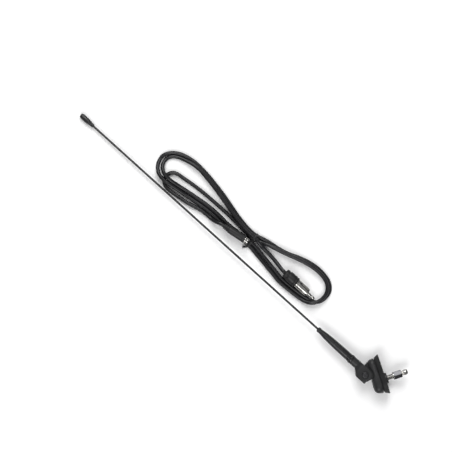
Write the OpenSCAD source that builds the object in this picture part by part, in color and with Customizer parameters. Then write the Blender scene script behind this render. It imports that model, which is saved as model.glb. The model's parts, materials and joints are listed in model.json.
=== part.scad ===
// Car mast aerial, lying on a table beside its unplugged lead.
// The origin is the middle of the seat, on the stud's axis. +X runs from the mast's tip to its base.

/* [Mast] */
// Length of the mast from the pivot to its tip
mast_len = 424.5; // [250:0.5:700]
// Diameter of the whip rod
rod_d = 2.4; // [1.8:0.1:3]
// Length of the rubber boot on the mast's foot
boot_len = 51; // [30:1:90]
// Diameter of the boot where it meets the knuckle
boot_foot_d = 10.4; // [9.6:0.1:13]
// Diameter of the boot where the rod leaves it
boot_top_d = 5; // [4:0.1:7]
// Length of the tip cap
cap_len = 19; // [12:1:30]
// Diameter of the tip cap
cap_d = 6; // [4.6:0.1:9]
// Thickness of the tip cap's end beyond the rod
cap_end = 6; // [3:0.5:8]
// Diameter of the thread that screws the mast into the knuckle
mast_thread_d = 5; // [4:0.5:5.5]
// Length of that thread
mast_thread_len = 8; // [6:0.5:9]
// Length of the ferrule's sleeve inside the boot
ferrule_len = 16; // [10:1:25]
// Diameter of the ferrule's sleeve
ferrule_d = 7; // [6.4:0.1:8]
// Thickness of the seal between boot and knuckle
seal_t = 1.2; // [0.8:0.1:2]

/* [Knuckle] */
// Angle between the mast and the seat as it lies
rake = 30; // [24:1:38]
// Distance of the mast's axis from the pivot, towards the seat
axis_drop = 3; // [2.6:0.1:3.4]
// Width of the fork over both cheeks
fork_w = 16; // [14:0.5:18]
// Distance from the pivot to the fork's flat back
fork_back = 7.6; // [7:0.1:8]
// Distance from the pivot to the end of the cheeks
fork_tail = 5.8; // [5:0.1:6.2]
// Depth of the slot beyond the pivot
slot_depth = 7.6; // [7.4:0.1:8.4]
// Distance from the pivot to the seal
neck_len = 20; // [18.5:0.5:24]

/* [Pivot] */
// Height of the pivot above the seat
pivot_h = 20.4; // [19.6:0.1:23]
// Distance of the pivot from the stud's axis, towards the toe
pivot_fwd = 10.8; // [10:0.1:11.6]
// Diameter of the pivot screw's shank
pivot_d = 4; // [3:0.5:4.5]
// Diameter of the pivot screw's head
pivot_head_d = 7.6; // [6.4:0.1:8.4]
// Height of the pivot screw's head
pivot_head_h = 2.6; // [2:0.1:3]
// Width of the pivot nut across its flats
pivot_nut_af = 7; // [6:0.5:8]
// Thickness of the spring washer under the nut
spring_t = 0.9; // [0.6:0.1:1.2]
// Thickness of the tongue that the fork holds
tongue_t = 6; // [5:0.2:7]

/* [Base] */
// Length of the gasket
foot_len = 45; // [42:1:50]
// Width of the gasket at the heel
foot_w = 24; // [23:0.5:28]
// Width of the gasket at the toe
toe_w = 15; // [13:0.5:18]
// Distance from the stud's axis to the end of the heel
heel_out = 17; // [16:0.5:19]
// Thickness of the gasket
gasket_t = 6.4; // [5:0.1:7]
// How far the gasket's skirt flares out
skirt = 3.2; // [2:0.1:4]
// Height of the housing's heel above the seat
heel_h = 15.6; // [15:0.1:17]
// Height of the housing's toe above the seat
toe_h = 14; // [13:0.1:15]

/* [Stud] */
// Outer diameter of the threaded stud
stud_d = 6; // [5.5:0.1:7]
// Distance from the seat to the stud's end
stud_out = 19.4; // [17:0.1:30]
// Inner diameter of the threaded stud
stud_bore = 3.6; // [3.2:0.1:4]
// Diameter of the centre contact
contact_d = 2; // [1.6:0.1:2.4]
// Diameter of the contact's end button
button_d = 6.4; // [5:0.1:7]
// Length of the contact's end button
button_len = 5.8; // [4:0.1:6]
// Width of the stud nut across its flats
nut_af = 8; // [7.6:0.1:10]
// Length of the stud nut
nut_len = 9; // [5:0.5:10]
// Diameter of the toothed washer
washer_d = 9; // [8.6:0.1:14]
// Thickness of the toothed washer
washer_t = 0.8; // [0.6:0.1:1.2]
// Height of the spigot that centres the base in its hole
spigot_h = 2.4; // [1.5:0.1:4]
// Diameter of the spigot
spigot_d = 12; // [10:0.5:14]

/* [Lead] */
// Diameter of the coaxial lead
cable_d = 4.3; // [3.8:0.1:4.4]
// Width of the tie round the hank's waist
tie_w = 3; // [3:0.5:6]
// Thickness of the tie
tie_t = 0.7; // [0.5:0.1:1]

/* [Plug] */
// Diameter of the plug's grip
grip_d = 12; // [11.6:0.1:12.4]
// Length of the plug's grip
grip_len = 17; // [14:0.5:20]
// Diameter of the plug's barrel
barrel_d = 10; // [9.6:0.1:10.4]
// Length of the plug's barrel
barrel_len = 16.5; // [14:0.5:18]
// Diameter of the plug's pin
plug_pin_d = 3.6; // [3.2:0.1:3.6]
// How far the pin stands out of the barrel
plug_pin_out = 9; // [7:0.5:9.5]
// Wall of the plug's barrel
barrel_wall = 0.7; // [0.5:0.1:1]

/* [Coupler] */
// Diameter of the coupler's grip
coupler_d = 8.4; // [7.8:0.1:8.6]
// Length of the coupler's grip
coupler_len = 27; // [24:0.5:27]
// Diameter of the coupler's metal shell
shell_d = 8; // [7.6:0.1:8.4]
// Length of the metal shell past the grip
shell_len = 5; // [3:0.5:6]

/* [Hidden] */

// Clearances
run = 0.05;
side_gap = 0.25;
nip = 0.02;

// Fork and pivot
cheek_y = fork_w / 2;
slot_y = tongue_t / 2 + side_gap;
tongue_r = slot_depth - 0.4;
scoop_r = sqrt(pow(fork_back, 2) + pow(fork_tail, 2)) + 0.7;
neck_r = boot_foot_d / 2 - 0.4;
neck_x = -axis_drop;

// Outline of the foot, from above
heel_r = foot_w / 2;
toe_r = toe_w / 2;
heel_x = heel_out - heel_r;
toe_x = heel_out - foot_len + toe_r;

// How the aerial slopes so that its tip cap, its heel and its pivot nut all touch the table
tip_x = -pivot_x_row() - mast_len;
heel_row_x = cos(rake) * heel_x;
slope = atan((heel_r - cap_d / 2) / (heel_row_x - tip_x));
nut_corner_r = pivot_nut_af / 2 / cos(30);
nut_reach = heel_r - (heel_row_x + pivot_x_row() + nut_corner_r) * tan(slope);
table_z = -heel_r * cos(slope) + heel_row_x * sin(slope);

// Distance of the pivot from the origin, along the mast
function pivot_x_row() = cos(rake) * pivot_fwd + sin(rake) * pivot_h;

// Lead: height of its middle above the table where it lies flat
cable_r = cable_d / 2;
// Where the hank lies beside the mast
hank_at = [-2.6, 1.5];
plug_y = 11;
plug_x = -140;
plug_z = grip_d / 2;
plug_lift = (plug_z - cable_r) / cable_d;
grip_neck = 4;
coupler_start = [-241.5, 4.3];
coupler_yaw = 8.5;
coupler_z = cable_d + coupler_d / 2 + nip;
coupler_lift = (coupler_z - cable_r) / cable_d;
coupler_neck = 3;
tie_x = -207.4;
tie_lo = 4.3;
tie_hi = 22.4;
hank_h = 1.87 * cable_d;

// The two stretches of the lead that run out of the hank: x, y and how many diameters it is lifted
coupler_end = [
    [-261.7, 0.6, 0], [-259, 0.6, 0.05], [-255.5, 0.8, 0.35], [-251.8, 1.5, 0.85], [-248.3, 2.7, 1.3],
    [-244.96, 3.78, coupler_lift], [-238.58, 4.74, coupler_lift]
];
plug_end = [
    [-191.9, 15.3, 0], [-182, 14.4, 0], [-175, 13.6, 0.1], [-167, 12.2, 0.5], [-159.5, 11, plug_lift],
    [-153.1, 11, plug_lift]
];
function laid(pts) = [for (p = pts) [p.x, p.y, cable_r + p.z * cable_d]];

// A round tube swept along points, with flat ends
module tube(pts, d, sides) {
    last = len(pts) - 1;
    ring = [for (i = [0:last]) let (
        t = pts[min(i + 1, last)] - pts[max(i - 1, 0)],
        u = cross(t, [0, 0, 1]) / norm(cross(t, [0, 0, 1])),
        v = cross(u, t) / norm(t))
        for (k = [0:sides - 1]) pts[i] + d / 2 * (cos(360 * k / sides) * u + sin(360 * k / sides) * v)];
    walls = [for (i = [0:last - 1]) for (k = [0:sides - 1]) let (a = i * sides, n = (k + 1) % sides)
        [a + k, a + n, a + sides + n, a + sides + k]];
    caps = [[for (k = [sides - 1:-1:0]) k], [for (k = [0:sides - 1]) last * sides + k]];
    polyhedron(ring, concat(walls, caps), convexity = 10);
}

// Where things stand: the base's own frame, the mast's own frame and the table
module in_base() {
    rotate([0, -slope, 0]) rotate([0, 0, -rake]) rotate([90, 0, 0]) children();
}
module in_mast() {
    in_base() translate([-pivot_fwd, 0, pivot_h]) rotate([0, rake - 90, 0]) children();
}
module on_mast_axis() {
    in_mast() translate([neck_x, 0, 0]) children();
}
module on_table() {
    translate([hank_at.x, hank_at.y, table_z]) children();
}
module across(d, w, y = 0) {
    translate([0, y, 0]) rotate([90, 0, 0]) cylinder(d = d, h = w, center = true, $fn = 48);
}
module at_pivot() {
    translate([-pivot_fwd, 0, pivot_h]) children();
}
module chamfered(flat_r, corner_r, h) {
    // Half outline of a nut whose corners are turned off at both ends
    cut = (corner_r - flat_r) * 0.6;
    polygon([[0, 0], [flat_r, 0], [corner_r, cut], [corner_r, h - cut], [flat_r, h], [0, h]]);
}
module ring(outer, inner, h, fn = 48) {
    difference() {
        cylinder(d = outer, h = h, $fn = fn);
        translate([0, 0, -1]) cylinder(d = inner, h = h + 2, $fn = fn);
    }
}

// The foot's outline, drawn in by a margin
module foot_outline(margin = 0) {
    hull() {
        translate([heel_x, 0]) circle(r = heel_r - margin, $fn = 64);
        translate([toe_x, 0]) circle(r = toe_r - margin, $fn = 64);
    }
}

// Base
housing_floor = gasket_t;
stud_head_h = 2;
stud_head_af = 9;
strip_t = 0.5;
strip_w = 3;
strip_bend = pivot_fwd - 3.6;
rod_top = housing_floor + stud_head_h + 1.2;

module housing_dome() {
    difference() {
        dome_shape();
        translate([-100, -100, housing_floor - 50]) cube([200, 200, 50]);
    }
}
module dome_shape() {
    hull() {
        translate([0, 0, housing_floor]) linear_extrude(1.2) foot_outline(skirt - 0.6);
        for (s = [-1, 1]) {
            translate([heel_x + 2.4, s * (heel_r - 8), heel_h - 6]) sphere(r = 6, $fn = 32);
            translate([toe_x + 0.4, s * (toe_r - 5.4), toe_h - 5]) sphere(r = 5, $fn = 32);
        }
    }
}
module tongue_plate() {
    // A round end with one straight edge that stops the fork at the lowest rake
    at_pivot() rotate([90, 0, 0]) linear_extrude(tongue_t, center = true)
        union() {
            circle(r = tongue_r, $fn = 64);
            rotate(180 - rake) translate([-tongue_r * 0.6, 0]) square([tongue_r * 1.6, tongue_r + 5]);
            translate([-tongue_r, -scoop_r - 1]) square([2 * tongue_r, scoop_r]);
        }
}
module strip_plate(grow = 0) {
    // The strip's path from the contact up to the pivot screw
    foot_z = rod_top;
    rotate([90, 0, 0]) linear_extrude(strip_t + 2 * grow, center = true) union() {
        hull() {
            translate([0, foot_z + strip_w / 2]) circle(d = strip_w + 2 * grow, $fn = 32);
            translate([-strip_bend, foot_z + strip_w / 2]) circle(d = strip_w + 2 * grow, $fn = 32);
        }
        hull() {
            translate([-strip_bend, foot_z + strip_w / 2]) circle(d = strip_w + 2 * grow, $fn = 32);
            translate([-pivot_fwd, pivot_h]) circle(d = strip_w + 2 * grow, $fn = 32);
        }
        translate([-pivot_fwd, pivot_h]) circle(d = pivot_d + 4 + 2 * grow, $fn = 48);
        translate([-strip_w / 2 - grow, foot_z - grow]) square([strip_w + 2 * grow, strip_w]);
    }
}
module base_housing() {
    color("#1b1b1d") in_base() difference() {
        union() {
            difference() {
                housing_dome();
                at_pivot() across(2 * scoop_r, foot_w + 10);
            }
            intersection() {
                tongue_plate();
                translate([-50, -50, housing_floor + 2]) cube([100, 100, 50]);
            }
            translate([0, 0, -spigot_h]) cylinder(d1 = spigot_d - 0.6, d2 = spigot_d, h = 0.3, $fn = 64);
            translate([0, 0, 0.3 - spigot_h]) cylinder(d = spigot_d, h = spigot_h - 0.6, $fn = 64);
            translate([0, 0, -0.4]) cylinder(d = spigot_d - 0.6, h = housing_floor + 1.4, $fn = 64);
        }
        at_pivot() across(pivot_d + 2 * run, tongue_t + 2);
        translate([0, 0, -spigot_h - 1]) cylinder(d = stud_d + 2 * run, h = spigot_h + housing_floor + 1.1, $fn = 48);
        translate([0, 0, housing_floor])
            cylinder(r = stud_head_af / 2 / cos(30) + run, h = rod_top - housing_floor + nip, $fn = 48);
        strip_plate(run);
    }
}
module base_gasket() {
    color("#151516") in_base() difference() {
        hull() {
            linear_extrude(0.9) foot_outline(0);
            translate([0, 0, gasket_t - 1]) linear_extrude(1 - nip) foot_outline(skirt);
        }
        translate([0, 0, -1]) cylinder(d = spigot_d + 2 * run, h = gasket_t + 2, $fn = 64);
    }
}

// Stud
module stud_tube() {
    color("#d9d9d6") in_base() difference() {
        union() {
            translate([0, 0, -stud_out]) cylinder(d = stud_d, h = stud_out + housing_floor + 0.5, $fn = 48);
            translate([0, 0, housing_floor + nip]) rotate(30)
                cylinder(r = stud_head_af / 2 / cos(30), h = stud_head_h, $fn = 6);
        }
        translate([0, 0, -stud_out - 1]) cylinder(d = stud_bore, h = 60, $fn = 48);
    }
}
module stud_insulator() {
    color("#f0efe8") in_base() translate([0, 0, -stud_out - 0.9]) difference() {
        union() {
            translate([0, 0, 0.9]) cylinder(d = stud_bore - 2 * nip, h = stud_out + housing_floor + stud_head_h, $fn = 48);
            cylinder(d = stud_d - 0.6, h = 0.9 - nip, $fn = 48);
            translate([0, 0, 0.5]) cylinder(d = stud_bore - 2 * nip, h = 1, $fn = 48);
        }
        translate([0, 0, -1]) cylinder(d = contact_d + 2 * nip, h = 60, $fn = 48);
    }
}
module stud_contact() {
    color("#e6e6e3") in_base() translate([0, 0, -stud_out - 0.9 - nip]) union() {
        cylinder(d = contact_d, h = stud_out + 0.9 + rod_top - nip, $fn = 48);
        rotate_extrude($fn = 48) intersection() {
            translate([0, -button_len + button_d / 2]) circle(d = button_d, $fn = 48);
            translate([0, -button_len]) square([button_d, button_len]);
        }
        translate([0, 0, -button_len + button_d / 2]) cylinder(d = button_d, h = button_len - button_d / 2, $fn = 48);
    }
}
module contact_strip() {
    color("#b08d4a") in_base() difference() {
        strip_plate(0);
        at_pivot() across(pivot_d + 2 * run, 2);
    }
}
module toothed_washer() {
    teeth = 12;
    color("#c9c9c6") in_base() translate([0, 0, -stud_out + nut_len + 0.6]) difference() {
        cylinder(d = washer_d, h = washer_t, $fn = 48);
        translate([0, 0, -1]) cylinder(d = stud_d + 2 * run, h = 4, $fn = 48);
        for (i = [0:teeth - 1]) rotate(360 / teeth * i) translate([washer_d / 2, 0, -1])
            rotate(45) cube([0.7, 0.7, 4]);
    }
}
module stud_nut() {
    color("#2a2a2c") in_base() translate([0, 0, -stud_out + 0.6 - nip]) difference() {
        intersection() {
            rotate(30) cylinder(r = nut_af / 2 / cos(30), h = nut_len, $fn = 6);
            rotate_extrude($fn = 48) chamfered(nut_af / 2, nut_af / 2 / cos(30), nut_len);
        }
        translate([0, 0, -1]) cylinder(d = stud_d + 2 * run, h = nut_len + 2, $fn = 48);
    }
}

// Pivot
screw_end = nut_reach;
module pivot_screw() {
    color("#4a4a4c") in_base() at_pivot() difference() {
        union() {
            across(pivot_d, cheek_y + nip + screw_end, (cheek_y + nip - screw_end) / 2);
            translate([0, cheek_y + nip, 0]) rotate([-90, 0, 0]) {
                cylinder(d = pivot_head_d, h = pivot_head_h - 0.9, $fn = 48);
                translate([0, 0, pivot_head_h - 0.9]) cylinder(d1 = pivot_head_d, d2 = pivot_head_d - 2.4, h = 0.9, $fn = 48);
            }
        }
        for (a = [0, 90]) translate([0, cheek_y + pivot_head_h, 0]) rotate([0, a + 15, 0])
            cube([pivot_head_d * 0.56, 2.4, 0.9], center = true);
    }
}
module spring_washer() {
    color("#8d8d8c") in_base() at_pivot() translate([0, -cheek_y - nip, 0]) rotate([90, 0, 0]) difference() {
        ring(pivot_d + 3, pivot_d + 2 * run, spring_t);
        rotate(20) translate([pivot_d / 2 + 1, 0, 0]) cube([4, 0.5, 4], center = true);
    }
}
module pivot_nut() {
    nut_from = cheek_y + spring_t + 2 * nip;
    color("#8d8d8c") in_base() at_pivot() translate([0, -nut_from, 0]) rotate([90, 0, 0]) difference() {
        intersection() {
            cylinder(r = nut_corner_r, h = nut_reach - nut_from, $fn = 6);
            rotate_extrude($fn = 48) chamfered(pivot_nut_af / 2, nut_corner_r + 0.01, nut_reach - nut_from);
        }
        translate([0, 0, -1]) cylinder(d = pivot_d + 2 * run, h = 9, $fn = 48);
    }
}

// Knuckle: a fork with a neck that holds the mast's thread
web_top = slot_depth + 3.2;
module fork_profile() {
    union() {
        circle(r = fork_back - 0.3, $fn = 64);
        hull() {
            for (p = [[-fork_tail + 1, fork_back - 1], [slot_depth - 2, fork_back - 1]])
                translate(p) circle(r = 1, $fn = 24);
            translate([-fork_tail + 1, 2]) circle(r = 1, $fn = 24);
            translate([web_top + 2, neck_r - axis_drop - 1.25]) circle(r = 1, $fn = 24);
            translate([web_top + 2, -neck_r - axis_drop + 1.25]) circle(r = 1, $fn = 24);
            translate([2, -fork_back + 1]) circle(r = 1, $fn = 24);
        }
    }
}
module fork_shoulders() {
    // The fork narrows to its neck, seen from the front
    half = fork_w / 2;
    polygon([
        [-half, -30], [half, -30], [half, web_top - 2.4], [half - 1, web_top - 0.4], [neck_r - 0.4, web_top + 3],
        [-neck_r + 0.4, web_top + 3], [-half + 1, web_top - 0.4], [-half, web_top - 2.4]
    ]);
}
module knuckle() {
    color("#202022") in_mast() difference() {
        union() {
            intersection() {
                rotate([90, 0, 0]) rotate(90) mirror([0, 1, 0])
                    linear_extrude(fork_w, center = true, convexity = 4) fork_profile();
                rotate([90, 0, 90]) linear_extrude(60, center = true) fork_shoulders();
            }
            translate([neck_x, 0, web_top - 2]) cylinder(r = neck_r, h = neck_len - web_top + 2, $fn = 64);
        }
        across(pivot_d + 2 * run, fork_w + 2);
        translate([-20, -slot_y, -20]) cube([40, 2 * slot_y, 20 + slot_depth]);
        translate([neck_x, 0, neck_len - mast_thread_len - 1]) cylinder(d = mast_thread_d + 2 * nip, h = 20, $fn = 48);
    }
}

// Mast
boot_from = neck_len + seal_t + 2 * nip;
rod_from = boot_from + 3;
cap_from = mast_len - cap_len;
rod_to = mast_len - cap_end;
module mast_seal() {
    color("#101011") on_mast_axis() translate([0, 0, neck_len + nip])
        ring(2 * neck_r - 0.2, mast_thread_d + 0.2, seal_t);
}
module mast_ferrule() {
    color("#c8c6bf") on_mast_axis() difference() {
        union() {
            translate([0, 0, neck_len - mast_thread_len]) cylinder(d = mast_thread_d, h = mast_thread_len + seal_t + 1, $fn = 48);
            translate([0, 0, boot_from]) cylinder(d = ferrule_d, h = ferrule_len, $fn = 48);
        }
        translate([0, 0, rod_from]) cylinder(d = rod_d + 2 * nip, h = ferrule_len + 5, $fn = 48);
    }
}
module mast_boot() {
    flange = 2.2;
    grip_ring = 4;
    color("#161617") on_mast_axis() translate([0, 0, boot_from]) difference() {
        rotate_extrude($fn = 64) polygon([
            [0, 0], [boot_foot_d / 2, 0], [boot_foot_d / 2, flange], [boot_foot_d / 2 - 0.5, flange + 0.5],
            [boot_foot_d / 2 - 0.5, flange + grip_ring], [boot_foot_d / 2 - 0.8, flange + grip_ring + 1.5],
            [boot_foot_d / 2 - 1, boot_len * 0.35], [boot_top_d / 2 + 0.6, boot_len * 0.75],
            [boot_top_d / 2, boot_len - 1], [boot_top_d / 2 - 0.6, boot_len], [0, boot_len]
        ]);
        translate([0, 0, -1]) cylinder(d = ferrule_d + 2 * nip, h = ferrule_len + 1 + nip, $fn = 48);
        cylinder(d = rod_d + 2 * nip, h = boot_len + 5, $fn = 48);
    }
}
module mast_rod() {
    color("#3a3a3c") on_mast_axis() translate([0, 0, rod_from + nip])
        cylinder(d = rod_d, h = rod_to - rod_from - 2 * nip, $fn = 32);
}
module tip_cap() {
    color("#161617") on_mast_axis() translate([0, 0, cap_from]) difference() {
        rotate_extrude($fn = 48) polygon([
            [0, 0], [rod_d / 2 + 0.5, 0], [rod_d / 2 + 0.8, 0.6], [cap_d / 2 - 0.8, cap_len * 0.22],
            [cap_d / 2 - 0.3, cap_len * 0.36], [cap_d / 2, cap_len * 0.52], [cap_d / 2, cap_len - 1.6],
            [cap_d / 2 - 0.2, cap_len - 0.8], [cap_d / 2 - 0.7, cap_len - 0.2], [cap_d / 2 - 1.3, cap_len], [0, cap_len]
        ]);
        translate([0, 0, -1]) cylinder(d = rod_d + 2 * nip, h = cap_len - cap_end + 1, $fn = 32);
    }
}

// The tie's inner edge: round one row of strands, with one more strand on top of them
tie_inside = [
    [tie_lo, tie_t], [tie_hi, tie_t], [tie_hi, cable_d + nip], [20.4, hank_h + nip], [14.6, hank_h + nip],
    [10.5, cable_d + nip], [tie_lo, cable_d + nip]
];

// Lead: the hank is one flat solid with the outline of its turns, and a raised part at its waist
hank_edge = [
    [-218, 21.8], [-227, 22.8], [-244, 26.2], [-263, 30.8], [-280, 33.9], [-296, 35.8], [-311, 36.8], [-324, 35.2],
    [-332, 32.4], [-340, 26.5], [-345, 19], [-345.6, 12], [-344, 4], [-338, -3], [-330, -7], [-320, -8.4],
    [-309, -8.2], [-300, -7.6], [-292, -6.6], [-285, -5.2], [-278, -3.4], [-270, -2], [-262, -1.55], [-262, 3.2],
    [-255, 3.4], [-250, 3.7], [-247, 2.6], [-238, 2], [-231, 2.5], [-222, 3.4], [-212, 4.2], [-205, 4.2],
    [-201, 3.7], [-194, 2.8], [-184, 1.5], [-172, -0.4], [-159, -2.3], [-142, -2.6], [-128, -1.6], [-118, 0.4],
    [-111, 3.4], [-107.2, 8], [-105, 13], [-103.2, 20.5], [-104, 29], [-108.5, 35.2], [-114.5, 38.4],
    [-123, 40.4], [-134, 40.8], [-145, 39], [-156.5, 35.8], [-169, 31], [-183, 28], [-196, 26], [-208, 23.4]
];
upper_gap = [
    [-249, 19.4], [-261, 22.4], [-275.5, 25.8], [-289, 27.8], [-302, 30], [-313, 29.8], [-322, 27.2], [-329, 22.4],
    [-333.8, 15], [-333.5, 9.5], [-330, 8.8], [-321, 12.2], [-310, 15.4], [-297, 17.6], [-283, 18.7], [-267, 19]
];
middle_gap = [
    [-224, 13], [-240, 14.2], [-255, 14.2], [-270, 14.2], [-285, 13.6], [-297, 12.4], [-309, 10], [-319, 7.4],
    [-322, 6], [-309, 6], [-297, 8], [-285, 9.8], [-271, 11.2], [-258, 11.4], [-246, 10.8], [-232, 11]
];
lower_gap = [
    [-192.3, 18.6], [-179, 23], [-165.5, 27], [-156, 29.2], [-145, 32.2], [-132, 33.8], [-123, 33.4], [-115, 30.8],
    [-110, 26.4], [-108, 20], [-110, 14], [-112.5, 10.4], [-117, 8.2], [-124, 6.6], [-139, 5.8], [-141, 5],
    [-158, 5], [-160, 6], [-172, 8.2], [-184, 10.4], [-192.3, 12]
];
waist_top = [
    [-240, 18.2], [-228, 16.2], [-218, 15.4], [-207, 15.3], [-199, 14], [-196, 14.6], [-197, 18], [-207, 19.8],
    [-218, 19.9], [-228, 20.2], [-240, 22]
];
module lead_hank() {
    color("#1d1d1f") on_table() difference() {
        union() {
            linear_extrude(cable_d, convexity = 10) difference() {
                polygon(hank_edge);
                polygon(upper_gap);
                polygon(middle_gap);
                polygon(lower_gap);
            }
            linear_extrude(hank_h, convexity = 10) polygon(waist_top);
        }
        translate([tie_x - tie_w / 2 - nip, tie_lo - 5, -1]) cube([tie_w + 2 * nip, tie_hi - tie_lo + 10, 1 + tie_t + nip]);
        for (y = [tie_lo - 10, tie_hi]) translate([tie_x - tie_w / 2 - nip, y, -1]) cube([tie_w + 2 * nip, 10, 20]);
    }
}
module plug_tail() {
    color("#1d1d1f") on_table() tube(laid(plug_end), cable_d, 8);
}
module coupler_tail() {
    color("#1d1d1f") on_table() tube(laid(coupler_end), cable_d, 8);
}
module hank_tie() {
    // A flat band round the waist, with its two ends twisted together
    color("#1a1a1b") on_table() {
        translate([tie_x - tie_w / 2, 0, 0]) rotate([90, 0, 90]) linear_extrude(tie_w) difference() {
            offset(delta = tie_t) polygon(tie_inside);
            polygon(tie_inside);
        }
        translate([tie_x, tie_lo - tie_t + 0.1, 1.4]) rotate([90, 0, 12]) cylinder(d = 2.4, h = 4, $fn = 24);
    }
}

// Plug
module on_plug() {
    on_table() translate([plug_x, plug_y, plug_z]) rotate([0, 90, 0]) children();
}
module plug_grip() {
    rear = -grip_len;
    color("#1b1b1c") on_plug() difference() {
        rotate_extrude($fn = 64) polygon([
            [0, rear + grip_neck], [0, 0], [grip_d / 2 - 0.8, 0], [grip_d / 2, -0.8], [grip_d / 2, -grip_len * 0.55],
            [grip_d / 2 - 1, -grip_len * 0.72], [cable_r + 2, rear + 1.2], [cable_r + 1.2, rear], [cable_r + 0.1, rear],
            [cable_r + 0.1, rear + grip_neck]
        ]);
        translate([0, 0, -4]) cylinder(d = barrel_d - 2, h = 5, $fn = 48);
    }
}
module plug_barrel() {
    color("#cfcfcc") on_plug() difference() {
        union() {
            translate([0, 0, nip]) cylinder(d = barrel_d, h = barrel_len - 0.8, $fn = 64);
            translate([0, 0, barrel_len - 0.8 + nip]) cylinder(d1 = barrel_d, d2 = barrel_d - 1.2, h = 0.8, $fn = 64);
            translate([0, 0, -4 + nip]) cylinder(d = barrel_d - 2 - 2 * nip, h = 5, $fn = 48);
        }
        translate([0, 0, -5]) cylinder(d = barrel_d - 2 * barrel_wall - 2, h = 6, $fn = 48);
        translate([0, 0, 1]) cylinder(d = barrel_d - 2 * barrel_wall, h = barrel_len + 1, $fn = 48);
        for (a = [0, 90]) rotate(a + 45) translate([-barrel_d, -0.4, barrel_len * 0.35]) cube([2 * barrel_d, 0.8, barrel_len]);
    }
}
module plug_insulator() {
    color("#e9e7df") on_plug() difference() {
        union() {
            translate([0, 0, 1 + nip]) cylinder(d = barrel_d - 2 * barrel_wall - 0.2, h = barrel_len - 3, $fn = 48);
            translate([0, 0, -3.4]) cylinder(d = barrel_d - 2 * barrel_wall - 2 - 2 * nip, h = 5, $fn = 48);
        }
        translate([0, 0, -1]) cylinder(d = plug_pin_d + 2 * nip, h = 30, $fn = 48);
    }
}
module plug_pin() {
    color("#d6d5d0") on_plug() translate([0, 0, -1 + nip]) rotate_extrude($fn = 48) polygon([
        [0, 0], [plug_pin_d / 2, 0], [plug_pin_d / 2, barrel_len + plug_pin_out],
        [plug_pin_d / 2 - 0.4, barrel_len + plug_pin_out + 0.6], [0, barrel_len + plug_pin_out + 1]
    ]);
}

// Coupler
module on_coupler() {
    on_table() translate([coupler_start.x, coupler_start.y, coupler_z]) rotate([0, 0, coupler_yaw]) rotate([0, 90, 0]) children();
}
module coupler_grip() {
    color("#1b1b1c") on_coupler() difference() {
        rotate_extrude($fn = 64) polygon([
            [0, coupler_neck], [cable_r + 0.1, coupler_neck], [cable_r + 0.1, 0], [cable_r + 0.8, 0],
            [coupler_d / 2, 7], [coupler_d / 2, coupler_len - 0.6], [coupler_d / 2 - 0.6, coupler_len], [0, coupler_len]
        ]);
        translate([0, 0, coupler_len - 5]) cylinder(d = shell_d - 2, h = 6, $fn = 48);
    }
}
module coupler_shell() {
    color("#cfcfcc") on_coupler() difference() {
        union() {
            translate([0, 0, coupler_len + nip]) cylinder(d = shell_d, h = shell_len, $fn = 64);
            translate([0, 0, coupler_len - 5 + nip]) cylinder(d = shell_d - 2 - 2 * nip, h = 6, $fn = 48);
        }
        translate([0, 0, coupler_len - 6]) cylinder(d = shell_d - 3.4, h = 30, $fn = 48);
        translate([0, 0, coupler_len + 0.5]) cylinder(d = shell_d - 1.2, h = 30, $fn = 48);
    }
}
module coupler_insulator() {
    color("#e9e7df") on_coupler() translate([0, 0, coupler_len - 4.6]) difference() {
        cylinder(d = shell_d - 3.4 - 2 * nip, h = 5, $fn = 48);
        translate([0, 0, -1]) cylinder(d = contact_d + 0.8 + 2 * nip, h = 20, $fn = 48);
    }
}
module coupler_socket() {
    color("#b9924a") on_coupler() translate([0, 0, coupler_len - 4.4]) difference() {
        cylinder(d = contact_d + 0.8, h = 6.4, $fn = 32);
        translate([0, 0, 4]) cylinder(d = contact_d, h = 12, $fn = 32);
    }
}

base_housing();
base_gasket();
stud_tube();
stud_insulator();
stud_contact();
contact_strip();
toothed_washer();
stud_nut();
pivot_screw();
spring_washer();
pivot_nut();
knuckle();
mast_seal();
mast_ferrule();
mast_boot();
mast_rod();
tip_cap();
lead_hank();
plug_tail();
coupler_tail();
hank_tie();
plug_grip();
plug_barrel();
plug_insulator();
plug_pin();
coupler_grip();
coupler_shell();
coupler_insulator();
coupler_socket();
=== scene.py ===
# Car mast aerial beside its unplugged lead: detailed pieces that stand on the part's solids
import json
import math

import bmesh
import bpy
from mathutils import Matrix, Vector


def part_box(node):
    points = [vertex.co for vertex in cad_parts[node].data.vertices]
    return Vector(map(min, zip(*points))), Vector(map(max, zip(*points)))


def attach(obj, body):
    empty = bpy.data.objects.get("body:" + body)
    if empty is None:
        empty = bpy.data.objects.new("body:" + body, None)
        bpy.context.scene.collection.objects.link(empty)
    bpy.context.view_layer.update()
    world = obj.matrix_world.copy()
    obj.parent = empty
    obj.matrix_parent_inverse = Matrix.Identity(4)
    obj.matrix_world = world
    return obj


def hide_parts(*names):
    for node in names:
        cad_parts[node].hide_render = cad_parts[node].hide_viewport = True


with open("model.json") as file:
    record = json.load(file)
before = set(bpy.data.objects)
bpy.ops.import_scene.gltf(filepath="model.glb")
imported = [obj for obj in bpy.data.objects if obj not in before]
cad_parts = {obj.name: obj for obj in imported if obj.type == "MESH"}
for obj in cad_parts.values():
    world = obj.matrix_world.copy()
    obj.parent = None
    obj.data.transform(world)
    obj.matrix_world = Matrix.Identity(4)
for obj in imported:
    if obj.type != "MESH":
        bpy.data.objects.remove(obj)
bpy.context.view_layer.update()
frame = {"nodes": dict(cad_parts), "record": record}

scene = bpy.context.scene

# One millimetre in metres: sizes and places below are in mm and angles in degrees, as in the part's source
MM = 0.001

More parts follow.
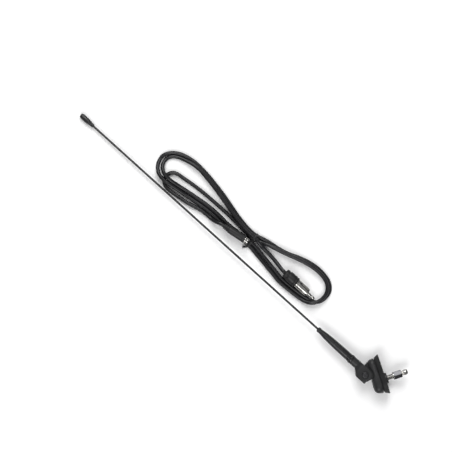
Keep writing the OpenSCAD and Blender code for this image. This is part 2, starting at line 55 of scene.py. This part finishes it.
# Mast and knuckle
RAKE = 30.0
SLOPE = 1.1499
MAST_LEN = 424.5
ROD_R = 1.2
BOOT_LEN = 51.0
CAP_LEN = 19.0
SEAL_T = 1.2
NECK_LEN = 20.0
AXIS_DROP = 3.0
PIVOT_FWD = 10.8
PIVOT_H = 20.4

# Foot and stud
HEEL_X = 5.0
HEEL_R = 12.0
TOE_X = -20.5
TOE_R = 7.5
GASKET_T = 6.4
GASKET_BORE_R = 6.05
STUD_OUT = 19.4
STUD_BORE_R = 1.82

# Lead: where the hank and its tie lie, the plug's front shoulder and the coupler's rear end
CABLE_D = 4.3
CABLE_R = CABLE_D / 2
HANK_AT = (-2.6, 1.5)
TIE_X = -207.4
TIE_LO = 4.3
TIE_HI = 22.4
PLUG = (-140.0, 11.0, 6.0)
COUPLER = (-241.5, 4.3, 8.52)
COUPLER_YAW = 8.5
COUPLER_LEN = 27.0

# Clearance between a detailed piece and what it fits on
CLEAR = 0.02

# Height of the table, and how many diameters the lead is lifted off it at the plug and at the coupler
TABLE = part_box("lead_hank")[0][2] / MM
PLUG_LIFT = (PLUG[2] - CABLE_R) / CABLE_D
COUPLER_LIFT = (COUPLER[2] - CABLE_R) / CABLE_D

# View in metres and degrees: its middle, its width at the origin's height, and its turn
VIEW_CENTRE = (-0.2425, 0.0071)
VIEW_WIDTH = 0.4972
VIEW_TURN = 42.08


# Camera: straight above the table, turned so that the mast runs across the picture's diagonal
def make_camera():
    data = bpy.data.cameras.new("camera")
    data.sensor_width = 36
    data.lens = 140
    cam = bpy.data.objects.new("camera", data)
    cam.location = (*VIEW_CENTRE, VIEW_WIDTH * data.lens / data.sensor_width)
    cam.rotation_euler = (0, 0, math.radians(VIEW_TURN))
    scene.collection.objects.link(cam)
    scene.camera = cam


make_camera()

# The lead's route, from the coupler to the plug: x and y in mm, and how many diameters it is lifted
ROUTE = [
    # out of the coupler and down to the table
    (-238.58, 4.74, COUPLER_LIFT), (-244.96, 3.78, COUPLER_LIFT), (-248.3, 2.7, 1.3), (-251.8, 1.5, 0.85),
    (-255.5, 0.8, 0.35), (-259, 0.6, 0.05), (-263, 0.6, 0), (-270, 0.2, 0), (-278, -1.3, 0),
    (-285, -3.1, 0), (-292, -4.5, 0), (-300, -5.6, 0), (-309, -6.8, 0),
    # the small turn
    (-316.5, -7, 0), (-322, -5.2, 0), (-325.6, -0.6, 0), (-326, 5, 0), (-323.2, 9.8, 0),
    (-318.2, 12.3, 0), (-310, 13.4, 0), (-301, 14.6, 0),
    # back to the waist
    (-287, 15.9, 0), (-272, 16.5, 0), (-258, 16.6, 0), (-246, 16.6, 0), (-236, 16.4, 0), (-226, 15.7, 0),
    (-216, 15.2, 0),
    # through the tie and up the lower lobe's inner turn
    (-207.4, 15.2, 0), (-200, 18, 0.05), (-195.5, 19.6, 0.38), (-191, 21.4, 0.66), (-181, 24, 0.9),
    (-170, 27.2, 0.92), (-157, 31.4, 0.87), (-145, 34.6, 0.87), (-133.5, 36.3, 0.87),
    (-123.5, 35.9, 0.87), (-117, 34, 0.87), (-112, 30.8, 0.9), (-108.6, 26.2, 0.95),
    (-107.2, 20.4, 0.98), (-107.8, 14.2, 0.97), (-110, 9.2, 0.95), (-113.6, 5.2, 0.8),
    # down on the outer side and back to the tie
    (-118.4, 2.6, 0.4), (-124.5, 1.1, 0), (-134, 0.2, 0), (-146, -0.5, 0), (-157, -0.5, 0),
    (-166, 0.9, 0), (-175, 2.2, 0), (-184, 3.6, 0), (-193, 4.8, 0), (-200, 5.9, 0), (-207.4, 6.5, 0),
    # round the upper lobe's outer turn
    (-214, 6.3, 0), (-222, 5.5, 0), (-231, 4.6, 0), (-241, 4.2, 0), (-250, 4.7, 0), (-257, 5, 0),
    (-264, 4.9, 0), (-272, 4.4, 0), (-285, 2.6, 0), (-297, 0.8, 0.1), (-307, -0.6, 0.45),
    (-316, -1.8, 0.95), (-325, -2.6, 1.08), (-333.6, -1.2, 1), (-340.4, 4.4, 0.5), (-343.6, 11.8, 0),
    (-343.2, 18.6, 0), (-338.8, 25.4, 0), (-331.6, 30.4, 0), (-322.8, 33.4, 0), (-311, 35, 0),
    (-296, 34.2, 0), (-280, 32, 0), (-263, 28.8, 0), (-248, 25.2, 0), (-236, 22.4, 0), (-224, 20.4, 0),
    (-215, 19.8, 0),
    # through the tie and round the lower lobe's outer turn
    (-207.4, 20.2, 0), (-200, 22.4, 0), (-192, 24.2, 0), (-181, 25.9, 0), (-169, 28.8, 0),
    (-156.5, 33.8, 0), (-145, 37.2, 0), (-134, 38.9, 0), (-123, 38.3, 0), (-115.3, 36.3, 0),
    (-109.6, 32.6, 0), (-106, 27.4, 0), (-105.2, 20.5, 0), (-106.4, 14.4, 0), (-109, 10.4, 0),
    (-113.4, 7.9, 0), (-118.6, 6.5, 0), (-125.5, 5.4, 0), (-134.5, 4.5, 0), (-146, 3.8, 0),
    (-157, 3.8, 0), (-166, 5.3, 0), (-175, 6.8, 0), (-184, 8.2, 0), (-193, 9.4, 0), (-200, 10.4, 0),
    # through the tie and round the upper lobe's inner turn
    (-207.4, 10.85, 0), (-214, 10.75, 0), (-222, 10, 0), (-231, 9.1, 0), (-241, 8.7, 0), (-250, 9.1, 0),
    (-260, 9.4, 0), (-272, 8.8, 0), (-285, 7.1, 0), (-297, 5.4, 0), (-308, 3.6, 0.2), (-317, 2.2, 0.8),
    (-325.4, 2, 1.05), (-332.6, 4.6, 1), (-337.4, 9.8, 0.4), (-338.5, 16, 0), (-336.2, 21.8, 0),
    (-330.6, 26.3, 0), (-322, 29.4, 0.3), (-312.6, 31.6, 0.75), (-302, 32.2, 0.84), (-289, 30.5, 0.82),
    (-275.5, 28.1, 0.82), (-261, 25, 0.82), (-249, 22.2, 0.82), (-238, 20, 0.84), (-227, 18.3, 0.86),
    (-216, 17.4, 0.87),
    # on top at the tie and out to the plug
    (-207.4, 17.55, 0.87), (-201.5, 16.3, 0.9), (-196, 15.6, 0.55), (-191, 15.1, 0.12), (-182, 14.4, 0),
    (-175, 13.6, 0.1), (-167, 12.2, 0.5), (-159.5, 11, PLUG_LIFT), (-153.1, 11, PLUG_LIFT),
]


# Smooth line through all the knots, with each stretch between two of them cut into steps
def smooth_line(knots, steps):
    line = []
    last = len(knots) - 1
    for i in range(last):
        before = knots[max(i - 1, 0)]
        start = knots[i]
        end = knots[i + 1]
        after = knots[min(i + 2, last)]
        for k in range(steps):
            t = k / steps
            slope = (end - before) * t
            bend = (2 * before - 5 * start + 4 * end - after) * t * t
            swing = (3 * start - before - 3 * end + after) * t ** 3
            line.append(0.5 * (2 * start + slope + bend + swing))
    line.append(knots[last])
    return line


# Lead: the whole cable as one round curve, and its length in metres
def make_lead():
    knots = []
    for x, y, lift in ROUTE:
        height = TABLE + CABLE_R + lift * CABLE_D
        knots.append(Vector((x + HANK_AT[0], y + HANK_AT[1], height)) * MM)
    line = smooth_line(knots, steps=6)
    data = bpy.data.curves.new("lead", "CURVE")
    data.dimensions = "3D"
    data.bevel_depth = CABLE_R * MM
    data.bevel_resolution = 6
    data.use_fill_caps = True
    spline = data.splines.new("POLY")
    spline.points.add(len(line) - 1)
    for point, place in zip(spline.points, line):
        point.co = (*place, 1)
    spline.use_smooth = True
    obj = bpy.data.objects.new("lead", data)
    scene.collection.objects.link(obj)
    return obj, sum((end - start).length for start, end in zip(line, line[1:]))


lead, lead_length = make_lead()


def add_noise(tree, coord, scale, detail):
    noise = tree.nodes.new("ShaderNodeTexNoise")
    noise.inputs["Scale"].default_value = scale
    noise.inputs["Detail"].default_value = detail
    tree.links.new(coord.outputs["Object"], noise.inputs["Vector"])
    return noise


# Finish of a surface: broad noise varies its tone and its gloss, and fine noise may give it a grain
def finish(name, color, rough, scale, metal=0.0, spec=0.5, bump=0.0, vary=0.25):
    broad_ratio = 9
    rough_swing = 0.1
    grain_depth = 0.2 * MM
    made = bpy.data.materials.new(name)
    made.use_nodes = True
    tree = made.node_tree
    shader = tree.nodes["Principled BSDF"]
    shader.inputs["Metallic"].default_value = metal
    shader.inputs["Specular IOR Level"].default_value = spec
    coord = tree.nodes.new("ShaderNodeTexCoord")
    broad = add_noise(tree, coord, scale / broad_ratio, 3)
    tone = tree.nodes.new("ShaderNodeValToRGB")
    dark, pale = tone.color_ramp.elements
    dark.position = 0.3
    dark.color = (*[c * (1 - vary) for c in color], 1)
    pale.position = 0.7
    pale.color = (*[min(c * (1 + vary), 1) for c in color], 1)
    tree.links.new(broad.outputs["Fac"], tone.inputs["Fac"])
    tree.links.new(tone.outputs["Color"], shader.inputs["Base Color"])
    gloss = tree.nodes.new("ShaderNodeMapRange")
    gloss.inputs["To Min"].default_value = max(rough - rough_swing, 0.03)
    gloss.inputs["To Max"].default_value = min(rough + rough_swing, 1)
    tree.links.new(broad.outputs["Fac"], gloss.inputs["Value"])
    tree.links.new(gloss.outputs["Result"], shader.inputs["Roughness"])
    if bump:
        fine = add_noise(tree, coord, scale, 6)
        grain = tree.nodes.new("ShaderNodeBump")
        grain.inputs["Strength"].default_value = bump
        grain.inputs["Distance"].default_value = grain_depth
        tree.links.new(fine.outputs["Fac"], grain.inputs["Height"])
        tree.links.new(grain.outputs["Normal"], shader.inputs["Normal"])
    return made


FINISHES = {
    "housing": finish("housing_plastic", (0.019, 0.019, 0.02), 0.38, spec=0.32, bump=0.2, scale=900),
    "gasket": finish("gasket_rubber", (0.016, 0.016, 0.0166), 0.5, spec=0.28, bump=0.25, scale=700),
    "boot": finish("boot_rubber", (0.015, 0.015, 0.016), 0.26, spec=0.35, bump=0.06, scale=350),
    "rod": finish("rod_lacquer", (0.02, 0.02, 0.021), 0.3, spec=0.4, scale=300),
    "plated_metal": finish("nickel_plate", (0.38, 0.375, 0.36), 0.15, metal=1.0, bump=0.03, scale=500,
                           vary=0.08),
    "dark_metal": finish("blackened_steel", (0.075, 0.075, 0.079), 0.22, metal=0.8, bump=0.12, scale=700),
    "pivot_steel": finish("pivot_steel", (0.36, 0.36, 0.37), 0.36, metal=1.0, bump=0.1, scale=700),
    "contact_brass": finish("spring_brass", (0.6, 0.42, 0.17), 0.3, metal=1.0, bump=0.05, scale=600),
    "insulator": finish("nylon", (0.78, 0.76, 0.70), 0.5, spec=0.4, bump=0.06, scale=500, vary=0.05),
    "jacket": finish("vinyl_jacket", (0.0125, 0.0125, 0.014), 0.27, spec=0.3, bump=0.06, scale=420),
    "grip": finish("grip_plastic", (0.016, 0.016, 0.0168), 0.36, spec=0.3, bump=0.15, scale=600),
    "tie": finish("tie_plastic", (0.013, 0.013, 0.0137), 0.35, spec=0.3, bump=0.1, scale=600),
}


def dress(obj, slot):
    obj.data.materials.clear()
    obj.data.materials.append(FINISHES[slot])


# Every solid gets its finish, and many of them are replaced below by a more detailed piece
for subpart in frame["record"]["subparts"]:
    for place in frame["nodes"][subpart["node"]].material_slots:
        place.material = FINISHES[subpart["material_slot"]]

dress(lead, "jacket")
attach(lead, "base")
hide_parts("lead_hank", "plug_tail", "coupler_tail")


def turn(degrees, axis):
    return Matrix.Rotation(math.radians(degrees), 4, axis)


def shift(x, y, z):
    return Matrix.Translation(Vector((x, y, z)))


# Where the pieces stand: on the foot, on the mast's axis, on the table, on the plug and on the coupler
ON_FOOT = turn(-SLOPE, "Y") @ turn(-RAKE, "Z") @ turn(90, "X")
ON_AXIS = ON_FOOT @ shift(-PIVOT_FWD, 0, PIVOT_H) @ turn(RAKE - 90, "Y") @ shift(-AXIS_DROP, 0, 0)
ON_TABLE = shift(HANK_AT[0], HANK_AT[1], TABLE)
ON_PLUG = ON_TABLE @ shift(*PLUG) @ turn(90, "Y")
ON_COUPLER = ON_TABLE @ shift(*COUPLER) @ turn(COUPLER_YAW, "Z") @ turn(90, "Y")


# Piece made of a mesh in mm: smooth, apart from the edges whose faces meet at more than the sharp angle
def add_piece(name, bm, place, slot, body, node, sharp=38):
    merge_distance = 0.000001
    bm.transform(Matrix.Scale(MM, 4) @ place)
    bmesh.ops.remove_doubles(bm, verts=bm.verts, dist=merge_distance)
    bmesh.ops.delete(bm, geom=[e for e in bm.edges if not e.link_faces], context="EDGES")
    bmesh.ops.recalc_face_normals(bm, faces=bm.faces)
    for face in bm.faces:
        face.smooth = True
    for edge in bm.edges:
        if len(edge.link_faces) == 2 and edge.calc_face_angle(0) > math.radians(sharp):
            edge.smooth = False
    mesh = bpy.data.meshes.new(name)
    bm.to_mesh(mesh)
    bm.free()
    obj = bpy.data.objects.new(name, mesh)
    scene.collection.objects.link(obj)
    dress(obj, slot)
    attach(obj, body)
    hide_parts(node)
    return obj


# Outline with each corner rounded by its own third number, on at most about half of either side
def rounded(points, closed=False):
    steps = 5
    most_of_side = 0.48
    least_tangent = 0.05
    out = []
    last = len(points) - 1
    for i, (r, z, fillet) in enumerate(points):
        if fillet == 0 or (not closed and i in (0, last)):
            out.append((r, z))
            continue
        corner = Vector((r, z))
        before = Vector(points[i - 1][:2]) - corner
        after = Vector(points[(i + 1) % len(points)][:2]) - corner
        back = before.normalized()
        ahead = after.normalized()
        reach = fillet / max(math.tan(back.angle(ahead) / 2), least_tangent)
        reach = min(reach, before.length * most_of_side, after.length * most_of_side)
        for k in range(steps + 1):
            t = k / steps
            start = (corner + back * reach) * (1 - t) ** 2
            end = (corner + ahead * reach) * t * t
            out.append(tuple(start + corner * 2 * t * (1 - t) + end))
    return out


# Closed loop of new vertices and edges
def add_loop(bm, points):
    verts = [bm.verts.new(p) for p in points]
    return verts, [bm.edges.new((verts[i - 1], verts[i])) for i in range(len(verts))]


# Skin from each loop to the next
def add_skin(bm, loops, closed=False):
    rings = [edges for verts, edges in loops]
    pairs = list(zip(rings, rings[1:]))
    if closed:
        pairs.append((rings[-1], rings[0]))
    for first, second in pairs:
        bmesh.ops.bridge_loops(bm, edges=first + second)


def close_ends(bm):
    bmesh.ops.holes_fill(bm, edges=[e for e in bm.edges if e.is_boundary], sides=0)


# Outline swept round the z axis, which may climb a little with each step
def sweep(bm, verts, edges, angle, steps, climb=0, full=False):
    bmesh.ops.spin(bm, geom=verts + edges, cent=(0, 0, 0), axis=(0, 0, 1), dvec=(0, 0, climb), angle=angle,
                   steps=steps, use_merge=full, use_duplicate=False)


# Turned piece: half an outline swept all the way round
def lathe(points, closed=False, steps=96):
    bm = bmesh.new()
    verts = [bm.verts.new((r, 0, z)) for r, z in rounded(points, closed)]
    edges = [bm.edges.new(pair) for pair in zip(verts, verts[1:])]
    if closed:
        edges.append(bm.edges.new((verts[-1], verts[0])))
    sweep(bm, verts, edges, math.tau, steps, full=True)
    return bm


# Fingers of a slit tube: the wall's outline swept from each slit to the next
def add_fingers(bm, points, count, slit, first):
    outline = rounded(points, True)
    for i in range(count):
        start = math.radians(first + slit / 2) + math.tau * i / count
        wall = [(r * math.cos(start), r * math.sin(start), z) for r, z in outline]
        verts, edges = add_loop(bm, wall)
        sweep(bm, verts, edges, math.tau / count - math.radians(slit), 20)
    close_ends(bm)


# Boot: a foot ring, fine grip grooves, a long full taper and a bead round the rod
def make_boot():
    bore_r = ROD_R + CLEAR
    socket_r = 3.54
    socket_depth = 17.2
    outline = [
        # foot ring
        (socket_r, 0, 0), (5.2, 0, 0.4), (5.2, 2.2, 0.5), (4.7, 2.8, 0.3),
        # three grip grooves
        (4.7, 3.6, 0.15), (4.4, 3.8, 0.1), (4.4, 4.2, 0.1), (4.68, 4.4, 0.15),
        (4.66, 5, 0.15), (4.36, 5.2, 0.1), (4.36, 5.6, 0.1), (4.62, 5.8, 0.15),
        (4.58, 6.4, 0.15), (4.3, 6.6, 0.1), (4.3, 7, 0.1), (4.5, 7.3, 0.3),
        # taper and bead
        (4.4, 17.8, 6), (4.15, 29, 8), (3.65, 39, 8), (2.7, 47.2, 0.5),
        (2.95, 47.9, 0.4), (2.95, 49.9, 0.5), (1.9, BOOT_LEN, 0.4),
        # bore, and the socket for the metal end of the whip
        (bore_r, BOOT_LEN, 0), (bore_r, socket_depth, 0), (socket_r, socket_depth, 0),
    ]
    place = ON_AXIS @ shift(0, 0, NECK_LEN + SEAL_T + 2 * CLEAR)
    add_piece("boot_ribbed", lathe(outline, True), place, "boot", "mast", "mast_boot")


# Tip cap: a slim neck that swells to a round-ended barrel
def make_tip_cap():
    bore_r = ROD_R + CLEAR
    bore_depth = 13
    outline = [
        (bore_r, 0, 0), (1.75, 0, 0.25), (2, 0.9, 0.5), (2.1, 3.4, 2), (2.75, 7, 3), (3, 10.4, 3),
        (3, 16.6, 1.6), (2.2, 18.8, 1), (0, CAP_LEN, 0), (0, bore_depth, 0), (bore_r, bore_depth, 0),
    ]
    place = ON_AXIS @ shift(0, 0, MAST_LEN - CAP_LEN)
    add_piece("tip_cap_round", lathe(outline, True), place, "boot", "mast", "tip_cap")


# Outline of the foot drawn in by a margin: an arc round the heel, and one round the toe
def foot_outline(margin):
    steps = 48
    side = math.acos(-(HEEL_R - TOE_R) / (HEEL_X - TOE_X))
    heel = (HEEL_X, HEEL_R - margin, -side, 2 * side)
    toe = (TOE_X, TOE_R - margin, side, math.tau - 2 * side)
    out = []
    for x, r, start, arc in (heel, toe):
        for k in range(steps + 1):
            a = start + arc * k / steps
            out.append((x + r * math.cos(a), r * math.sin(a)))
    return out


# Gasket: a pad with a flared skirt and one sealing groove in its underside
def make_gasket():
    top = GASKET_T - CLEAR
    # margin and height of each loop, from the bore outwards and then up to the top
    underside = [(3.9, 0), (3.5, 0), (3.3, 0.45), (1.9, 0.45), (1.7, 0), (0.2, 0)]
    skirt = [
        (0, 0.15), (0.05, 0.6), (0.3, 1.1), (0.7, 1.8), (1.15, 2.7), (1.6, 3.6), (2, 4.5), (2.25, 4.95),
        (2.6, 5.2), (3.2, 5.3), (3.8, 5.4), (4, 5.65), (4, top), (4.8, top),
    ]
    turns = [math.atan2(y, x) for x, y in foot_outline(0)]
    bore = [(GASKET_BORE_R * math.cos(a), GASKET_BORE_R * math.sin(a)) for a in turns]
    levels = [(bore, 0)] + [(foot_outline(margin), z) for margin, z in underside + skirt] + [(bore, top)]
    bm = bmesh.new()
    add_skin(bm, [add_loop(bm, [(x, y, z) for x, y in outline]) for outline, z in levels], True)
    add_piece("gasket_skirt", bm, ON_FOOT, "gasket", "base", "base_gasket")


# Thread of 1 mm pitch, wound upwards from its low end
def add_thread(bm, low, turns):
    steps = 48
    pitch = 1
    ridge = [(2.42, 0), (2.96, 0.4), (2.96, 0.52), (2.42, 0.92)]
    verts, edges = add_loop(bm, [(r, 0, low + z) for r, z in ridge])
    sweep(bm, verts, edges, math.tau * turns, int(steps * turns), climb=pitch / steps)
    close_ends(bm)


# Stud: a bored rod with an M6 thread and a smooth shoulder above it
def make_stud():
    top = GASKET_T + 0.4
    core = [
        (STUD_BORE_R, -STUD_OUT, 0), (2.3, -STUD_OUT, 0), (2.5, -STUD_OUT + 0.3, 0.1), (2.5, -2.6, 0.1),
        (2.98, -2, 0.1), (2.98, top, 0), (STUD_BORE_R, top, 0),
    ]
    bm = lathe(core, True, 64)
    add_thread(bm, -STUD_OUT + 0.5, 15.5)
    add_piece("stud_threaded", bm, ON_FOOT, "plated_metal", "base", "stud_tube", 60)


# Contact: a pin through the stud and a grooved, round-nosed end
def make_contact():
    pin_len = 29.8
    beyond_stud = 0.92
    outline = [
        (0, pin_len, 0), (1, pin_len, 0.1), (1, 0, 0), (2.9, 0, 0.25), (2.9, -0.6, 0.15),
        (2.45, -0.8, 0.15), (2.45, -1.3, 0.15), (3.2, -1.6, 0.35), (3.2, -3.4, 1.2), (2.5, -5.2, 1),
        (0, -5.8, 0),
    ]
    place = ON_FOOT @ shift(0, 0, -STUD_OUT - beyond_stud)
    add_piece("contact_nose", lathe(outline, steps=64), place, "plated_metal", "base", "stud_contact")


# Plug's grip: a moulded body with a rear shoulder and a front collar
def make_plug_grip():
    bore_r = CABLE_R + 0.1
    outline = [
        (bore_r, -17, 0), (4.4, -17, 0.7), (5.4, -15.8, 0.7), (5.5, -13.8, 0.4), (5.05, -13.3, 0.2),
        (5.05, -12.7, 0.2), (6, -11.4, 1.2), (6, -3.4, 0.3), (5.6, -3.1, 0.12), (5.6, -2.6, 0.12),
        (6, -2.3, 0.3), (6, -0.7, 0.4), (5.3, 0, 0.2), (3.9, 0, 0), (3.9, -4, 0), (bore_r, -4, 0),
    ]
    return add_piece("plug_grip_moulded", lathe(outline, True), ON_PLUG, "grip", "base", "plug_grip")


# Plug's barrel: a bead near the grip, then four bowed fingers
def make_plug_barrel():
    collar = [
        (4.3, 0.02, 0), (4.75, 0.02, 0.1), (5, 0.4, 0.15), (5, 1.7, 0.2), (4.75, 2, 0.15), (5, 2.3, 0.2),
        (5, 5.7, 0), (4.3, 5.7, 0),
    ]
    finger = [
        (4.9, 5.6, 0), (4.96, 8.5, 4), (5, 11, 4), (4.85, 14.5, 2), (4.35, 16.5, 0.2), (3.75, 16.5, 0.2),
        (4.2, 14.5, 1), (4.3, 11, 4), (4.2, 5.6, 0),
    ]
    bm = lathe(collar, True)
    add_fingers(bm, finger, count=4, slit=11, first=45)
    return add_piece("plug_barrel_slit", bm, ON_PLUG, "plated_metal", "base", "plug_barrel")


# Plug's pin: a waisted pin with a round nose
def make_plug_pin():
    outline = [
        (0, -1, 0), (1.78, -1, 0), (1.78, 16.6, 0.2), (1.78, 20.5, 0.8), (1.45, 21.3, 0.5),
        (1.45, 22.2, 0.5), (1.78, 23, 0.6), (1.6, 25, 0.7), (0.9, 26.2, 0.6), (0, 26.5, 0),
    ]
    bm = lathe(outline, steps=48)
    return add_piece("plug_pin_round", bm, ON_PLUG, "plated_metal", "base", "plug_pin")


# Coupler's grip: a ringed strain relief that widens to a smooth barrel
def make_coupler_grip():
    bore_r = CABLE_R + 0.1
    outline = [
        # rings of the strain relief
        (bore_r, 0, 0), (2.95, 0, 0.3), (3.1, 1.1, 0.3), (2.75, 1.4, 0.2), (2.8, 1.9, 0.2),
        (3.35, 2.2, 0.3), (3.45, 3.2, 0.3), (3, 3.5, 0.2), (3.05, 4, 0.2),
        (3.65, 4.3, 0.3), (3.8, 5.3, 0.3), (3.4, 5.6, 0.2), (3.45, 6.1, 0.2),
        # barrel, with a groove near its front
        (4.1, 6.6, 0.5), (4.2, 8, 1.2), (4.2, 23.4, 0.3), (3.95, 23.7, 0.12), (3.95, 24.2, 0.12),
        (4.2, 24.5, 0.3), (4.2, 26.4, 0.5), (3.7, COUPLER_LEN, 0.2),
        # seat of the shell, and the cable's bore
        (3.05, COUPLER_LEN, 0), (3.05, 22, 0), (1, 22, 0), (1, 3, 0), (bore_r, 3, 0),
    ]
    bm = lathe(outline, True)
    return add_piece("coupler_grip_ringed", bm, ON_COUPLER, "grip", "base", "coupler_grip")


# Coupler's shell: a short socket tube whose mouth is slit and turned in
def make_coupler_shell():
    collar = [
        (3.2, 0, 0), (3.8, 0, 0.1), (3.98, 0.5, 0.2), (3.98, 1.4, 0.2), (3.65, 1.7, 0.1), (3.65, 2.2, 0),
        (3.2, 2.2, 0),
    ]
    finger = [
        (3.65, 2.1, 0), (3.85, 2.5, 0.3), (3.85, 4.2, 0.3), (3.6, 4.9, 0.15), (3.05, 4.9, 0.1),
        (3.25, 4.2, 0.2), (3.2, 2.1, 0),
    ]
    bm = lathe(collar, True)
    add_fingers(bm, finger, count=6, slit=11, first=0)
    place = ON_COUPLER @ shift(0, 0, COUPLER_LEN)
    return add_piece("coupler_shell_slit", bm, place, "plated_metal", "base", "coupler_shell")


# Tie's band: drawn round the strands at the waist, flat, with a thicker core along its middle
def add_tie_band(bm):
    stack_h = 1.87 * CABLE_D
    path = [
        (TIE_LO - 0.2, 0.25, 1.8), (TIE_HI + 0.2, 0.25, 1.8), (TIE_HI + 0.2, CABLE_D, 1.8),
        (20, stack_h + 0.3, 1.6), (15.2, stack_h + 0.3, 1.6), (11, CABLE_D + 0.5, 2),
        (TIE_LO - 0.2, CABLE_D + 0.2, 1.8),
    ]
    # section: place across the band, and height above or below the path
    section = [
        (-1.5, 0.1), (-0.6, 0.15), (-0.35, 0.38), (0.35, 0.38), (0.6, 0.15), (1.5, 0.1), (1.5, -0.25),
        (-1.5, -0.25),
    ]
    centre = Vector((13.2, 3.2))
    loops = []
    for y, z in rounded(path, True):
        out = (Vector((y, z)) - centre).normalized()
        loops.append(add_loop(bm, [(TIE_X + x, y + out.x * h, z + out.y * h) for x, h in section]))
    add_skin(bm, loops, True)


# Tie's two ends: flat strips twisted round each other, which part a little at their tips
def add_tie_ends(bm):
    length = 5.2
    turns = 1.1
    steps = 24
    apart = 0.42
    parting_from = 0.85
    half_width = 0.75
    half_thickness = 0.3
    corners = ((-1, -1), (1, -1), (1, 1), (-1, 1))
    root = Vector((TIE_X, TIE_LO - 0.3, 1.6))
    along = Vector((-0.72, -0.66, 0.12)).normalized()
    side = along.cross(Vector((0, 0, 1))).normalized()
    up = side.cross(along)
    for first in (0, math.pi):
        loops = []
        for i in range(steps + 1):
            t = i / steps
            a = first + t * math.tau * turns
            out = side * math.cos(a) + up * math.sin(a)
            middle = root + along * (t * length) + out * (apart + max(t - parting_from, 0) * 3)
            flat = (up * math.cos(a) - side * math.sin(a)) * half_width
            thick = out * half_thickness
            loops.append(add_loop(bm, [middle + flat * u + thick * w for u, w in corners]))
        add_skin(bm, loops)
    close_ends(bm)


def make_tie():
    bm = bmesh.new()
    add_tie_band(bm)
    add_tie_ends(bm)
    return add_piece("tie_twisted", bm, ON_TABLE, "tie", "base", "hank_tie")


make_boot()
make_tip_cap()
make_gasket()
make_stud()
make_contact()
on_lead = [
    make_plug_grip(),
    make_plug_barrel(),
    make_plug_pin(),
    make_coupler_grip(),
    make_coupler_shell(),
    make_tie(),
]
on_lead += [frame["nodes"][node] for node in ("plug_insulator", "coupler_insulator", "coupler_socket")]


# Moulded or machined piece with the solid's own shape: a merged copy of it, with rounded edges
def soften(node, slot, body, width):
    sharp = 34
    bm = bmesh.new()
    bm.from_mesh(frame["nodes"][node].data)
    obj = add_piece(node + "_soft", bm, Matrix.Scale(1 / MM, 4), slot, body, node, sharp)
    bevel = obj.modifiers.new("rounded_edges", "BEVEL")
    bevel.width = width * MM
    bevel.segments = 3
    bevel.limit_method = "ANGLE"
    bevel.angle_limit = math.radians(sharp)
    bevel.harden_normals = True


soften("base_housing", "housing", "base", width=0.4)
soften("knuckle", "housing", "mast", width=0.45)
soften("stud_nut", "dark_metal", "base", width=0.25)
soften("pivot_screw", "dark_metal", "base", width=0.2)
soften("pivot_nut", "pivot_steel", "base", width=0.2)


# Finish of the table: it lights the pieces as a pale grey, and is seen as plain white
def table_finish():
    grey = 0.82
    made = bpy.data.materials.new("table_white")
    made.use_nodes = True
    tree = made.node_tree
    shader = tree.nodes["Principled BSDF"]
    path = tree.nodes.new("ShaderNodeLightPath")
    seen = tree.nodes.new("ShaderNodeMix")
    seen.data_type = "RGBA"
    seen.inputs["A"].default_value = (grey, grey, grey, 1)
    seen.inputs["B"].default_value = (1, 1, 1, 1)
    tree.links.new(path.outputs["Is Camera Ray"], seen.inputs["Factor"])
    tree.links.new(seen.outputs["Result"], shader.inputs["Base Color"])
    shader.inputs["Roughness"].default_value = 0.8
    shader.inputs["Specular IOR Level"].default_value = 0.1
    return made


# Table: a square of 6 m, a hair below the pieces that rest on it
def make_table():
    half_side = 3
    gap = 0.2 * MM
    mesh = bpy.data.meshes.new("table_top")
    bm = bmesh.new()
    bmesh.ops.create_grid(bm, x_segments=1, y_segments=1, size=half_side)
    bm.to_mesh(mesh)
    bm.free()
    mesh.materials.append(table_finish())
    top = bpy.data.objects.new("table_top", mesh)
    top.location = (-0.24, 0, TABLE * MM - gap)
    scene.collection.objects.link(top)


# Square light of one metre, turned to the point that it aims at
def area_light(name, where, aim, power):
    data = bpy.data.lights.new(name, "AREA")
    data.size = 1
    data.energy = power
    obj = bpy.data.objects.new(name, data)
    obj.location = where
    obj.rotation_euler = (Vector(aim) - Vector(where)).to_track_quat("-Z", "Y").to_euler()
    scene.collection.objects.link(obj)


make_table()
area_light("key", where=(-0.85, 0.75, 1.1), aim=(-0.24, 0, 0), power=18)
area_light("fill", where=(0.35, -0.9, 1.2), aim=(-0.2, 0, 0), power=14)


# Room: bright straight above, darker towards the horizon, so that round pieces carry a narrow highlight
def make_room():
    world = bpy.data.worlds.new("room")
    world.use_nodes = True
    tree = world.node_tree
    back = tree.nodes["Background"]
    coord = tree.nodes.new("ShaderNodeTexCoord")
    split = tree.nodes.new("ShaderNodeSeparateXYZ")
    ramp = tree.nodes.new("ShaderNodeValToRGB")
    horizon, above = ramp.color_ramp.elements
    horizon.position = 0.25
    horizon.color = (0.12, 0.12, 0.125, 1)
    above.position = 0.95
    above.color = (0.5, 0.5, 0.5, 1)
    between = ramp.color_ramp.elements.new(0.72)
    between.color = (0.26, 0.26, 0.265, 1)
    tree.links.new(coord.outputs["Generated"], split.inputs["Vector"])
    tree.links.new(split.outputs["Z"], ramp.inputs["Fac"])
    tree.links.new(ramp.outputs["Color"], back.inputs["Color"])
    back.inputs["Strength"].default_value = 0.9
    scene.world = world


make_room()
scene.view_settings.view_transform = "Standard"
scene.view_settings.look = "None"
